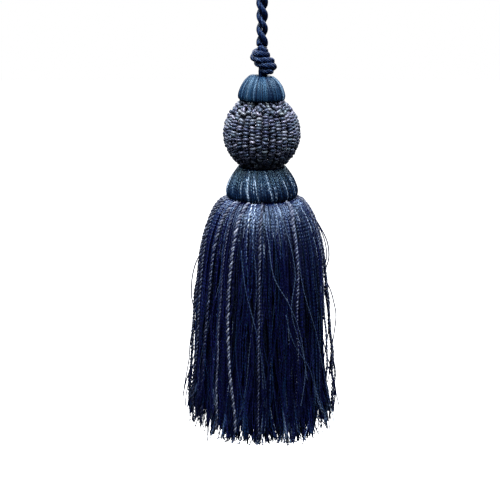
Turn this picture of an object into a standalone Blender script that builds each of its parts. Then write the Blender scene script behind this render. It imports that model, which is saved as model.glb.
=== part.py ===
"""A beaded key tassel on a doubled cord, as it hangs at rest.

Metres, +Z up, the front towards -Y. The origin is where a hook bears: the underside of the
top of the cord's loop. Tables give millimetres from the middle of the ball, because the
tassel is built outwards from it.
"""

import math

import bpy
from mathutils import Vector
from mathutils.noise import noise

MM = 0.001
MERGE = 0.00001  # metres

# The ball and its rows of beads.
BALL_RADIUS = 16.0
BALL_BELOW_ORIGIN = 96.0
BEAD_ROWS = 33
BEAD_GROOVE = 0.5  # how far the gap between two rows lies below their crests
BALL_RINGS = 14

# The doubled cord: two legs twisted round each other, then a loop.
CORD_RADIUS = 1.1
LEG_OFFSET = 1.2  # from the axis of the twist to the middle of a leg
TWIST_PITCH = 10.7
TWIST_TOP = 63.65
CORD_FOOT = 35.9
POINTS_PER_TURN = 10
LOOP_POINTS = 25
# One side of the loop, from the end of the twist to the top. The other side is its half turn.
LOOP_SIDE = (
    # across, back, height
    (1.9, -0.9, 65.9),
    (3.9, -0.9, 69.6),
    (6.5, -0.4, 74.2),
    (8.7, 0.0, 79.6),
    (9.7, 0.0, 85.4),
    (8.8, 0.0, 91.2),
    (5.4, 0.0, 95.6),
    (0.0, 0.0, 97.1),
)

# The overhand knot. Its two strands lie side by side and cross the front in turn, one row
# for each crossing, from the twist down to where they tuck in.
KNOT_CROSSINGS = (
    # across, height, half width, half depth
    (0.0, 39.575, 1.2, 1.2),
    (0.0, 34.225, 1.3, 1.3),
    (-1.2, 32.6, 2.6, 2.3),
    (0.0, 30.1, 2.8, 2.4),
    (1.8, 27.9, 2.8, 2.4),
    (2.5, 25.5, 1.9, 2.0),
    (1.4, 24.4, 0.8, 0.8),
)
KNOT_TILT = 0.5  # how much the right side of each turn is lifted, and the left lowered
KNOT_TOP = 0.743  # where the strands start, counted in crossings
STRAND_ENDS = (4.9, 5.6)
STEPS_PER_CROSSING = 8
# What the strands wrap, down to the neck in the dimple of the upper ruff.
KNOT_CORE = (
    # across, height, radius
    (0.2, 34.4, 1.5),
    (-0.5, 32.4, 2.0),
    (0.5, 29.8, 2.1),
    (1.4, 27.2, 2.1),
    (1.1, 25.0, 1.9),
    (0.5, 23.8, 1.75),
    (0.4, 22.75, 1.75),
)
KNOT_VOXEL = 0.38
KNOT_KEEP = 0.19  # share of the knot's triangles that is kept

# The two collars of combed thread, from the axis over the outer side and back to the axis.
UPPER_RUFF = (
    # height, radius
    (22.2, 0.0),
    (22.2, 2.6),
    (22.9, 3.2),
    (23.3, 4.1),
    (22.9, 5.1),
    (21.4, 6.8),
    (19.2, 8.35),
    (17.0, 9.25),
    (15.3, 9.6),
    (14.3, 9.45),
    (13.85, 8.95),
    (14.1, 8.3),
    (15.6, 4.95),
    (16.35, 0.0),
)
LOWER_RUFF = (
    # height, radius
    (-16.35, 0.0),
    (-15.55, 5.05),
    (-14.1, 8.4),
    (-13.75, 9.0),
    (-14.1, 9.6),
    (-15.5, 10.6),
    (-17.9, 12.2),
    (-20.5, 13.6),
    (-23.0, 14.4),
    (-25.0, 14.5),
    (-26.2, 14.0),
    (-26.7, 12.9),
    (-26.9, 11.0),
    (-26.9, 0.0),
)
RUFF_STEPS = 48
# Where the combed thread bunches: waves round each collar.
UPPER_LOBES = (
    # waves, share of the radius, turn
    (5, 0.010, 0.6),
    (8, 0.008, 2.0),
)
LOWER_LOBES = (
    # waves, share of the radius, turn
    (6, 0.006, 1.1),
    (11, 0.006, 0.3),
)
UPPER_LEAN = 0.3  # how much higher the left of the cap's crest is

# The skirt of fine thread: its top and side, then the comb at its hem and its brush-like end.
SKIRT_SIDE = (
    # height, radius
    (-27.3, 0.0),
    (-27.25, 11.0),
    (-27.1, 13.0),
    (-27.0, 14.0),
    (-27.3, 15.3),
    (-28.3, 16.9),
    (-30.6, 18.8),
    (-33.2, 20.3),
    (-37.0, 22.0),
    (-43.4, 23.9),
    (-51.0, 25.3),
    (-60.0, 26.4),
    (-72.0, 27.7),
    (-86.0, 28.7),
    (-100.0, 29.7),
    (-110.0, 30.2),
)
SKIRT_STEPS = 72
BUNCH_DEPTH = 0.024  # how far bunches of thread stand out, as a share of the radius
BUNCH_START = 12.0  # the drop over which they grow to that
HEM_RADIUS = 30.4
HEM_TIP = -123.4
HEM_NOTCH = -116.6
HEM_RAGGED = 1.6  # how unevenly the tips are cut
HEM_DIP = 2.0  # how much longer the skirt is in front than at its sides and behind
HEM_CORNERS = (
    # degrees from the front towards +X, width in degrees, how much higher the hem is there
    (-90.0, 39.0, 3.0),
    (90.0, 31.0, 2.4),
)
RISE_START = -60.0  # the height below which the side follows the hem
BRUSH_RADII = (27.6, 24.0, 20.0, 15.5, 11.0, 6.0)
BRUSH_MIDDLE = -121.0
BRUSH_TUFT = 0.9  # how far the tufts of the brush stand out, and the gaps between them go in
BRUSH_RAGGED = 2.0


def at(across, back, height):
    """A point in the object's frame from millimetres round the middle of the ball."""
    return Vector((across, back, height - BALL_BELOW_ORIGIN)) * MM


def smooth_through(rows, where):
    """The Catmull-Rom curve through equally long rows, at where counted in rows."""
    last = len(rows) - 1
    first = min(max(int(where), 0), last - 1)
    part = where - first
    before = rows[max(first - 1, 0)]
    start, end = rows[first], rows[first + 1]
    after = rows[min(first + 2, last)]
    return [
        b
        + 0.5 * part * ((c - a) + part * ((2 * a - 5 * b + 4 * c - d) + part * (3 * (b - c) + d - a)))
        for a, b, c, d in zip(before, start, end, after)
    ]


def evenly(points, count):
    """This many points, equally far apart along a polyline."""
    reach = [0.0]
    for here, there in zip(points, points[1:]):
        reach.append(reach[-1] + (there - here).length)
    found = []
    i = 0
    for k in range(count):
        goal = reach[-1] * k / (count - 1)
        while i < len(points) - 2 and reach[i + 1] < goal:
            i += 1
        share = (goal - reach[i]) / (reach[i + 1] - reach[i])
        found.append(points[i].lerp(points[i + 1], share))
    return found


def material(name, colour, roughness, metallic=0.0):
    made = bpy.data.materials.new(name)
    made.use_nodes = True
    shader = made.node_tree.nodes["Principled BSDF"]
    shader.inputs["Base Color"].default_value = (*colour, 1.0)
    shader.inputs["Roughness"].default_value = roughness
    shader.inputs["Metallic"].default_value = metallic
    return made


def add(name, data, finish, collection):
    made = bpy.data.objects.new(name, data)
    if finish is not None:
        data.materials.append(finish)
    collection.objects.link(made)
    return made


def tube(name, points, radii):
    """A curve along these points, round and capped, with a radius for each point."""
    curve = bpy.data.curves.new(name, "CURVE")
    curve.dimensions = "3D"
    curve.bevel_depth = MM
    curve.bevel_resolution = 2
    curve.use_fill_caps = True
    spline = curve.splines.new("POLY")
    spline.points.add(len(points) - 1)
    for place, point, radius in zip(spline.points, points, radii):
        place.co = (*point, 1.0)
        place.radius = radius
    return curve


def evaluated_mesh(made):
    bpy.context.view_layer.update()
    graph = bpy.context.evaluated_depsgraph_get()
    return bpy.data.meshes.new_from_object(made.evaluated_get(graph), depsgraph=graph)


def smooth(mesh, crease=50):
    mesh.shade_smooth()
    mesh.set_sharp_from_angle(angle=math.radians(crease))


def leg_angle(height):
    """The left leg's direction from the axis of the twist. It falls to the right in front."""
    return 2 * math.pi * (TWIST_TOP - height) / TWIST_PITCH


def leg_point(height, side):
    angle = leg_angle(height)
    return at(side * LEG_OFFSET * math.cos(angle), side * LEG_OFFSET * math.sin(angle), height)


def hanging_cord(finish, collection):
    """Up one leg of the twist, round the loop and down the other leg."""
    count = round((TWIST_TOP - CORD_FOOT) / TWIST_PITCH * POINTS_PER_TURN)
    heights = [CORD_FOOT + (TWIST_TOP - CORD_FOOT) * k / count for k in range(count + 1)]
    up = [leg_point(height, 1) for height in heights]
    down = [leg_point(height, -1) for height in reversed(heights)]
    side = [at(*row) for row in LOOP_SIDE]
    back = [at(-across, -behind, height) for across, behind, height in reversed(LOOP_SIDE[:-1])]
    rows = up[-2:] + side + back + down[:2]
    fine = [Vector(smooth_through(rows, 1 + k / 12)) for k in range(12 * (len(rows) - 3) + 1)]
    loop = evenly(fine, LOOP_POINTS)[1:-1]
    route = up + loop + down
    cord = tube("hanging_cord", route, [CORD_RADIUS] * len(route))
    return add("hanging_cord", cord, finish, collection)


def knot_strand(which):
    """One strand of the knot, which crosses the front at every second row of the table."""
    start = KNOT_TOP
    end = STRAND_ENDS[which]
    count = round((end - start) * STEPS_PER_CROSSING)
    points = []
    for k in range(count + 1):
        crossing = start + (end - start) * k / count
        across, height, wide, deep = smooth_through(KNOT_CROSSINGS, crossing)
        angle = math.pi * (crossing - which - 0.5)
        lift = KNOT_TILT * math.cos(angle) * min(1.0, max(0.0, crossing - 1.0))
        points.append(at(across + wide * math.cos(angle), deep * math.sin(angle), height + lift))
    return points


def cord_knot(finish, collection):
    """The strands and the core that they wrap, grown together into one solid."""
    steps = range(4 * (len(KNOT_CORE) - 1) + 1)
    rows = [smooth_through(KNOT_CORE, k / 4) for k in steps]
    core = tube("core", [at(across, 0.0, height) for across, height, _ in rows], [row[2] for row in rows])
    made = [add("core", core, None, collection)]
    for which in range(2):
        points = knot_strand(which)
        strand = tube("strand", points, [CORD_RADIUS] * len(points))
        made.append(add("strand", strand, None, collection))
    points, faces = [], []
    for piece in made:
        mesh = evaluated_mesh(piece)
        faces += [[len(points) + v for v in face.vertices] for face in mesh.polygons]
        points += [tuple(v.co) for v in mesh.vertices]
        bpy.data.objects.remove(piece)
    mesh = bpy.data.meshes.new("cord_knot")
    mesh.from_pydata(points, [], faces)
    knot = add("cord_knot", mesh, finish, collection)
    weld = knot.modifiers.new("caps", "WELD")
    weld.merge_threshold = MERGE
    grow = knot.modifiers.new("one skin", "REMESH")
    grow.mode = "VOXEL"
    grow.voxel_size = KNOT_VOXEL * MM
    grow.use_smooth_shade = True
    fewer = knot.modifiers.new("fewer faces", "DECIMATE")
    fewer.ratio = KNOT_KEEP
    return knot


def turned(name, profile, steps, moved, finish, collection):
    """A profile turned round the axis. moved(row, angle, height, radius) then shapes it."""
    mesh = bpy.data.meshes.new(name)
    edges = [(i, i + 1) for i in range(len(profile) - 1)]
    mesh.from_pydata([at(radius, 0.0, height) for height, radius in profile], edges, [])
    made = add(name, mesh, None, collection)
    screw = made.modifiers.new("turn", "SCREW")
    screw.steps = screw.render_steps = steps
    screw.use_merge_vertices = True
    screw.merge_threshold = MERGE
    solid = evaluated_mesh(made)
    bpy.data.objects.remove(made)
    solid.name = name
    for vertex in solid.vertices:
        across, back, up = vertex.co / MM
        radius = math.hypot(across, back)
        angle = math.atan2(back, across)
        height = up + BALL_BELOW_ORIGIN
        row = min(range(len(profile)), key=lambda i: math.dist(profile[i], (height, radius)))
        height, radius = moved(row, angle, height, radius)
        vertex.co = at(radius * math.cos(angle), radius * math.sin(angle), height)
    smooth(solid)
    return add(name, solid, finish, collection)


def round_noise(angle, turns, height, seed):
    """Smooth noise from -1 to 1 that closes on itself round the axis."""
    return noise(Vector((turns * math.cos(angle), turns * math.sin(angle), height + seed)))


def lobes(table, angle):
    return sum(share * math.sin(waves * angle + turn) for waves, share, turn in table)


def upper_ruff(finish, collection):
    """The cap: its threads bunch in soft lobes round the dimple, the left one highest."""
    hem = 14.0
    dimple = 3.0
    tall = 9.3

    def moved(row, angle, height, radius):
        if radius < dimple or height < hem:
            return height, radius
        rise = -UPPER_LEAN * math.cos(angle) * (height - hem) / tall
        return height + rise, radius * (1.0 + lobes(UPPER_LOBES, angle))

    return turned("upper_ruff", UPPER_RUFF, RUFF_STEPS, moved, finish, collection)


def lower_ruff(finish, collection):
    """The collar under the ball, a little uneven where its threads bunch."""
    hem = -25.5
    lip = 9.0
    grown = 3.0  # how far outside the lip the lobes reach their full depth

    def moved(row, angle, height, radius):
        if radius < lip or height < hem:
            return height, radius
        share = min(1.0, (radius - lip) / grown)
        return height, radius * (1.0 + share * lobes(LOWER_LOBES, angle))

    return turned("lower_ruff", LOWER_RUFF, RUFF_STEPS, moved, finish, collection)


def beaded_ball(finish, collection):
    """A ball whose rows of beads stand up from pole to pole, with a groove between rows."""
    turns = [math.pi * k / BALL_RINGS for k in range(1, BALL_RINGS)]
    rings = [(BALL_RADIUS * math.cos(turn), BALL_RADIUS * math.sin(turn)) for turn in turns]

    def moved(row, angle, height, radius):
        share = radius / BALL_RADIUS
        groove = BEAD_GROOVE * share * (0.5 - 0.5 * math.cos(BEAD_ROWS * angle))
        shrink = 1.0 - groove / BALL_RADIUS
        return height * shrink, radius * shrink

    profile = [(BALL_RADIUS, 0.0)] + rings + [(-BALL_RADIUS, 0.0)]
    return turned("beaded_ball", profile, 2 * BEAD_ROWS, moved, finish, collection)


def hem_rise(angle):
    """How much higher than in front the threads are cut at the sides and behind."""
    rise = HEM_DIP * (1.0 - max(0.0, -math.sin(angle)))
    for degrees, width, more in HEM_CORNERS:
        away = (math.degrees(angle) + 270.0 - degrees) % 360.0 - 180.0
        rise += more * math.exp(-((away / width) ** 2))
    return rise


def skirt(finish, collection):
    """The fringe: bunches run down its side, and its cut ends make a ragged comb and brush."""
    hem_row = len(SKIRT_SIDE)
    rings = [(BRUSH_MIDDLE, radius) for radius in BRUSH_RADII]
    profile = [*SKIRT_SIDE, (HEM_NOTCH, HEM_RADIUS), *rings, (BRUSH_MIDDLE, 0.0)]

    def moved(row, angle, height, radius):
        step = round(angle / (2 * math.pi) * SKIRT_STEPS)
        rise = hem_rise(angle)
        if row > hem_row:
            tuft = BRUSH_TUFT if (step // 2 + row) % 2 else -BRUSH_TUFT
            ragged = BRUSH_RAGGED * round_noise(angle, 0.25 * radius, radius, 7.3)
            rise *= radius / HEM_RADIUS
            return height + rise + ragged + (tuft if radius > 1.0 else 0.0), radius
        if row == hem_row:
            ragged = HEM_RAGGED * round_noise(angle, 9.0, 0.0, 3.1)
            return (HEM_NOTCH if step % 2 else HEM_TIP) + rise + ragged, radius + 0.2 * ragged
        below = min(1.0, max(0.0, (SKIRT_SIDE[0][0] - height) / BUNCH_START))
        bunch = round_noise(angle, 2.4, height / 60.0, 0.4)
        bunch += 0.6 * round_noise(angle, 5.0, height / 45.0, 5.2)
        rise *= max(0.0, (RISE_START - height) / (RISE_START - HEM_NOTCH))
        return height + rise, radius * (1.0 + BUNCH_DEPTH * below * bunch)

    return turned("skirt", profile, SKIRT_STEPS, moved, finish, collection)


def build():
    for old in list(bpy.data.objects):
        bpy.data.objects.remove(old, do_unlink=True)
    tassel = bpy.data.collections.new("beaded key tassel")
    bpy.context.scene.collection.children.link(tassel)
    cord = material("navy cord", (0.010, 0.021, 0.062), 0.55)
    cap = material("blue silk thread", (0.040, 0.095, 0.190), 0.40)
    beads = material("grey glass beads", (0.030, 0.038, 0.055), 0.22, 0.35)
    fringe = material("navy fringe thread", (0.008, 0.013, 0.050), 0.45)
    hanging_cord(cord, tassel)
    cord_knot(cord, tassel)
    upper_ruff(cap, tassel)
    beaded_ball(beads, tassel)
    lower_ruff(cap, tassel)
    skirt(fringe, tassel)


build()
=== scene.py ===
"""A beaded key tassel, dressed thread by thread round its solids.

Metres, +Z up, the front towards -Y. Tables give millimetres from the middle of the ball, as
in the part's source, because the tassel is built outwards from it, and degrees round the axis
from the front towards +X.
"""

import math

import bpy
import numpy as np
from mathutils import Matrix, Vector
from mathutils.noise import noise


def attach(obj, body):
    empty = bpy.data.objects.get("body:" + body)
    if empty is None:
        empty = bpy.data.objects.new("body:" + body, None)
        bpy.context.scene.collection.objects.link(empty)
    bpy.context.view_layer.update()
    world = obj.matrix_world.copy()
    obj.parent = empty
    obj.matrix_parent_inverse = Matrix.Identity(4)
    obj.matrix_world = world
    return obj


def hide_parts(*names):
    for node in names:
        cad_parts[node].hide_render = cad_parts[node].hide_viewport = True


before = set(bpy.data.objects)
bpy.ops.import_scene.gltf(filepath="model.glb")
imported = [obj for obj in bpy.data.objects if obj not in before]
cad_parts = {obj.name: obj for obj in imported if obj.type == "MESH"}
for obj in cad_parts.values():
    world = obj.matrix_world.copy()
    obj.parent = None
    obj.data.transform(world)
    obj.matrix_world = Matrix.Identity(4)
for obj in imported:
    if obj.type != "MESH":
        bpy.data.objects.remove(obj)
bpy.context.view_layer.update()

MM = 0.001
BALL_BELOW_ORIGIN = 96.0  # from where the loop hangs down to the middle of the ball
TURN = 2.0 * math.pi

# The view: how far in front of the ball and above it the eye is, and a little to its left.
EYE = (-4.9, -600.0, 100.0)
EYE_DOWN = 13.99  # degrees below level
LENS = 106.5
SENSOR = 36.0
LAMPS = (
    # name, azimuth and elevation in degrees, metres away, metres wide, watts, colour
    ("key", -4.0, 66.0, 1.1, 0.60, 52.0, (0.98, 0.99, 1.0)),
    ("left fill", -75.0, 38.0, 1.3, 0.7, 10.5, (0.90, 0.95, 1.0)),
    ("right fill", 72.0, 40.0, 1.3, 0.7, 10.5, (0.90, 0.95, 1.0)),
    ("back", 178.0, 58.0, 1.2, 0.7, 26.0, (0.98, 0.99, 1.0)),
    ("left back", -128.0, 40.0, 1.3, 0.7, 16.0, (0.94, 0.97, 1.0)),
    ("right back", 128.0, 40.0, 1.3, 0.7, 16.0, (0.94, 0.97, 1.0)),
)
LIT_HEIGHT = -40.0  # the height that the lamps face
GLOW = (0.80, 0.90, 1.0, 1.0)
GLOW_STRENGTH = 0.08
FLOOR_SIZE = 4.0  # metres from the middle to a side
FLOOR_DROP = 0.60  # metres below the origin

# The doubled cord, as in the part's source.
LEG_OFFSET = 1.2
TWIST_PITCH = 10.7
TWIST_TOP = 63.65
CORD_FOOT = 35.9
LOOP_SIDE = (
    # across, back, height
    (1.9, -0.9, 65.9), (3.9, -0.9, 69.6), (6.5, -0.4, 74.2), (8.7, 0, 79.6), (9.7, 0, 85.4),
    (8.8, 0, 91.2), (5.4, 0, 95.6), (0, 0, 97.1),
)
CORD_STEP = 0.6  # how far apart the rings of its strands are
STRANDS = 9  # fine strands round the cord's core
STRAND_RADIUS = 0.33
STRAND_OFFSET = 0.86
STRAND_LAY = 11.0
CORE_RADIUS = 0.8
CORE_TONE = 0.1
LEG_POINTS = 120

# The overhand knot, as in the part's source, and the neck below it.
KNOT_CROSSINGS = (
    # across, height, half width, half depth
    (0, 39.575, 1.2, 1.2), (0, 34.225, 1.3, 1.3), (-1.2, 32.6, 2.6, 2.3), (0, 30.1, 2.8, 2.4),
    (1.8, 27.9, 2.8, 2.4), (2.5, 25.5, 1.9, 2), (1.4, 24.4, 0.8, 0.8),
)
KNOT_TILT = 0.5  # how far a crossing slopes
KNOT_TOP = 0.743  # where both strands start, counted in rows of the table
STRAND_ENDS = (4.9, 5.6)  # and where each ends
KNOT_POINTS = 90
KNOT_CORE = (
    # across, height, radius
    (0.2, 34.4, 0.9), (-0.5, 32.4, 1.5), (0.5, 29.8, 1.6), (1.4, 27.2, 1.6), (1.1, 25, 1.4),
    (0.5, 23.8, 1), (0.4, 22.6, 1),
)
# The neck: how far across from its own middle, and height.
NECK = ((0.75, 26.4), (0.9, 25), (0.8, 23.8), (0.75, 22.3))
NECK_MIDDLE = 0.4
NECK_BACK = 0.25  # how far one strand of the neck lies behind the other, halved
KNOT_SWELLS = (1.14, 1.14, 0.9, 0.9)  # how thick the knot's strands are, then the neck's

# The two collars of combed thread, as in the part's source.
UPPER_RUFF = (
    # height, radius
    (22.2, 0), (22.2, 2.6), (22.9, 3.2), (23.3, 4.1), (22.9, 5.1), (21.4, 6.8), (19.2, 8.35),
    (17, 9.25), (15.3, 9.6), (14.3, 9.45), (13.85, 8.95), (14.1, 8.3), (15.6, 4.95), (16.35, 0),
)
LOWER_RUFF = (
    # height, radius
    (-16.35, 0), (-15.55, 5.05), (-14.1, 8.4), (-13.75, 9), (-14.1, 9.6), (-15.5, 10.6),
    (-17.9, 12.2), (-20.5, 13.6), (-23, 14.4), (-25, 14.5), (-26.2, 14), (-26.7, 12.9),
    (-26.9, 11), (-26.9, 0),
)
# Their lobes: waves, share of the radius, turn.
UPPER_LOBES = ((5, 0.010, 0.6), (8, 0.008, 2.0))
LOWER_LOBES = ((6, 0.006, 1.1), (11, 0.006, 0.3))
UPPER_LEAN = 0.3
DRAWN_IN = 0.05  # how much narrower the cap's threads lie on its right
LOBES_FROM = (14.0, 2.9)  # the height above which and radius outside which the cap has lobes
CREST = 23.3

# The beads.
BALL_RADIUS = 16.0
BEAD_COLUMNS = 33
BEAD_RADIUS = 1.32
BEAD_LENGTH = 1.34
BEAD_SECTION = (
    # radius, height above the bead's middle as a share of half its length
    (0.36, 0.66), (0.64, 1), (1.02, 0.84), (1.25, 0.42), (BEAD_RADIUS, 0),
)
BEAD_SIDES = 10
BEAD_PITCH = 1.38
COLUMN_FOOT = -46.0  # degrees above the middle where the upright columns start
COLUMN_TOP = 33.0  # and where they end
BALL_BAND = 66.0  # degrees above and below the middle that any bead reaches
COLUMN_TILT, CROWN_TILT = 0.22, 0.75  # how far beads lean in the columns and past them
# The ball under the beads: degrees above or below the middle, radius.
BALL_CORE = ((54.0, 13.9), (63.0, 15.8))

# The skirt.
SKIRT_SIDE = (
    # height, radius
    (-27.25, 10.5), (-27.1, 13), (-27, 14), (-27.3, 15.3), (-28.3, 16.9), (-30.6, 18.8),
    (-33.2, 20.3), (-37, 22), (-43.4, 23.9), (-51, 25.3), (-60, 26.4), (-72, 27.7), (-86, 28.7),
    (-100, 29.7), (-110, 30.2), (-124, 30.7),
)
FLAT_SIDES = (
    # height, how far out the mass of threads hangs on the left and on the right
    (-28.4, 15.7, 30), (-31.8, 18.4, 30), (-36.9, 20.9, 30), (-40, 22.1, 24.2),
    (-45.3, 23.9, 24.2), (-50, 24.9, 24.3), (-58, 26, 24.4), (-75, 27.3, 24.6), (-92, 27.9, 24.9),
    (-103, 28.2, 25.7), (-109, 29, 27), (-118, 32, 29),
)
PRESSED = 0.8  # how much of what would stand out past that is taken in
SHOULDER = 34.0  # the length of thread over which the inner ones start lower
SHOULDER_DROP = 10.0  # by this much times how far inside they lie

SHADES = 128  # how many tones of dye a finish holds, side by side
SPAN = 150.0  # millimetres of thread that the dye's map runs over
MAP_TOP = 0.004  # where on the map a thread starts
MAP_EDGE, MAP_WIDTH = 0.15, 0.7  # where a thread lies in its tone's strip of the map


def set_up(points):
    """Points in metres in the object's frame, from millimetres round the middle of the ball."""
    return (np.asarray(points, float) - (0.0, 0.0, BALL_BELOW_ORIGIN)) * MM


def round_axis(radius, turn, height):
    """Points from how far out, how far round and how high they are."""
    return np.stack(np.broadcast_arrays(radius * np.cos(turn), radius * np.sin(turn), height), axis=-1)


def towards(turn, rise):
    """The direction this far round the axis and this far above level."""
    return Vector((math.cos(turn) * math.cos(rise), math.sin(turn) * math.cos(rise), math.sin(rise)))


def share_of(value):
    """The value, kept between 0 and 1."""
    return np.clip(value, 0.0, 1.0)


def unevenness(angle, fineness, level):
    """Smooth noise round the axis."""
    return noise(Vector((fineness * math.cos(angle), fineness * math.sin(angle), level)))


def put_in(name, data):
    """A new object in the scene that shows this mesh, lamp or camera."""
    made = bpy.data.objects.new(name, data)
    bpy.context.scene.collection.objects.link(made)
    return made


# ---------------------------------------------------------------- view and light


def camera():
    data = bpy.data.cameras.new("camera")
    data.sensor_width = SENSOR
    data.lens = LENS
    made = put_in("camera", data)
    made.location = set_up(EYE)
    made.rotation_euler = (math.radians(90.0 - EYE_DOWN), 0.0, 0.0)
    bpy.context.scene.camera = made


def softbox(name, azimuth, elevation, distance, size, power, colour):
    """A square lamp that faces the tassel's middle. Azimuth 0 is in front, and +90 towards +X."""
    data = bpy.data.lights.new(name, "AREA")
    data.shape = "SQUARE"
    data.size = size
    data.energy = power
    data.color = colour
    made = put_in(name, data)
    way = towards(math.radians(azimuth - 90.0), math.radians(elevation))
    made.location = Vector(set_up((0.0, 0.0, LIT_HEIGHT))) + way * distance
    made.rotation_euler = way.to_track_quat("Z", "Y").to_euler()


def studio():
    """White all round for the eye, and a dim grey for the light, so that navy stays deep."""
    world = bpy.data.worlds.new("studio")
    bench = Bench(world)
    bench.tree.nodes.clear()
    seen = bench.node("ShaderNodeBackground", {}, {"Color": (1.0, 1.0, 1.0, 1.0)})
    glow = bench.node("ShaderNodeBackground", {}, {"Color": GLOW, "Strength": GLOW_STRENGTH})
    to_eye = bench.node("ShaderNodeLightPath", {}, {}, "Is Camera Ray")
    both = bench.node("ShaderNodeMixShader", {}, {0: to_eye, 1: glow, 2: seen})
    bench.node("ShaderNodeOutputWorld", {}, {"Surface": both})
    bpy.context.scene.world = world
    bpy.context.scene.view_settings.view_transform = "Standard"
    for lamp in LAMPS:
        softbox(*lamp)


def floor():
    """A pale floor under the hanging tassel. It takes no part in the tassel's light."""
    mesh = bpy.data.meshes.new("floor")
    signs = ((-1, -1), (1, -1), (1, 1), (-1, 1))
    corners = [(x * FLOOR_SIZE, y * FLOOR_SIZE, -FLOOR_DROP) for x, y in signs]
    mesh.from_pydata(corners, [], [(0, 1, 2, 3)])
    finish = Finish(
        "pale_floor",
        Base_Color=(0.8, 0.8, 0.8, 1.0),
        Roughness=0.9,
        Emission_Color=(1.0, 1.0, 1.0, 1.0),
        Emission_Strength=1.0,
    )
    mesh.materials.append(finish.made)
    made = put_in("floor", mesh)
    made.visible_diffuse = False
    made.visible_glossy = False
    made.visible_transmission = False


# ---------------------------------------------------------------- finishes


def operator(operation, turned=False):
    """A method for one sign. Turned, the other value comes first."""

    def work(wire, other):
        return wire.sum(operation, *((other, wire) if turned else (wire, other)))

    return work


class Wire:
    """A socket's output, for sums that are written as Python expressions."""

    __add__, __radd__ = operator("ADD"), operator("ADD", True)
    __sub__, __rsub__ = operator("SUBTRACT"), operator("SUBTRACT", True)
    __mul__, __rmul__ = operator("MULTIPLY"), operator("MULTIPLY", True)
    __truediv__, __rtruediv__ = operator("DIVIDE"), operator("DIVIDE", True)

    def __init__(self, bench, socket):
        self.bench = bench
        self.socket = socket

    def sum(self, operation, *values):
        return self.bench.node("ShaderNodeMath", {"operation": operation}, dict(enumerate(values)))

    def floor(self):
        return self.sum("FLOOR", self)

    def sine(self):
        return self.sum("SINE", self)


class Bench:
    """Where nodes are put together, for a finish or for the light all round."""

    def __init__(self, owner):
        owner.use_nodes = True
        self.tree = owner.node_tree

    def node(self, kind, settings, sockets, out=0):
        """A node with its settings, then its sockets' values or links, by name or number."""
        node = self.tree.nodes.new(kind)
        for key, value in settings.items():
            if key == "stops":
                ramp = node.color_ramp
                while len(ramp.elements) < len(value):
                    ramp.elements.new(1.0)
                for element, (place, colour) in zip(ramp.elements, value):
                    element.position = place
                    element.color = (*colour, 1.0)
            else:
                setattr(node, key, value)
        for key, value in sockets.items():
            if isinstance(value, Wire):
                self.tree.links.new(value.socket, node.inputs[key])
            else:
                node.inputs[key].default_value = value
        return Wire(self, node.outputs[out]) if node.outputs else None


class Finish(Bench):
    """One finish: its nodes end in one shader, which holds what is the same all over."""

    def __init__(self, name, **fixed):
        self.made = bpy.data.materials.new(name)
        super().__init__(self.made)
        self.shader = self.tree.nodes["Principled BSDF"]
        for socket, value in fixed.items():
            self.shader.inputs[socket.replace("_", " ")].default_value = value

    def feed(self, socket, wire):
        self.tree.links.new(wire.socket, self.shader.inputs[socket])

    def mix(self, share, first, second, way="MIX"):
        sockets = {0: share, 6: first, 7: second}
        return self.node("ShaderNodeMix", {"data_type": "RGBA", "blend_type": way}, sockets, 2)

    def map(self):
        """The dye's map: which tone a thread has, how far round it, and how far along it."""
        spot = self.node("ShaderNodeUVMap", {"uv_map": "OFBake"}, {})
        row = self.node("ShaderNodeSeparateXYZ", {}, {0: spot})
        along = Wire(self, row.socket.node.outputs[1])
        tone = (row * SHADES).floor()
        return tone, (row * SHADES - tone - MAP_EDGE) / MAP_WIDTH, along * SPAN

    def dye(self, stops, tone):
        return self.node("ShaderNodeValToRGB", {"stops": stops}, {0: (tone + 0.5) / SHADES})

    def chance(self, seed):
        """Any number from 0 to 1, the same wherever the seed is the same."""
        return self.node("ShaderNodeTexWhiteNoise", {"noise_dimensions": "1D"}, {"W": seed})

    def cloud(self, across, along, scale, detail):
        """Soft noise over the dye's map."""
        place = self.node("ShaderNodeCombineXYZ", {}, {0: across, 1: along, 2: 0.0})
        sockets = {"Vector": place, "Scale": scale, "Detail": detail}
        return self.node("ShaderNodeTexNoise", {"noise_dimensions": "2D"}, sockets)


TONES_APART = 7.31  # how far apart on the noise the clouds of neighbouring tones lie
CLOUD_PACE = 0.09  # clouds in a millimetre of thread
STREAK_PACE = 0.06  # and streaks

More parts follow.
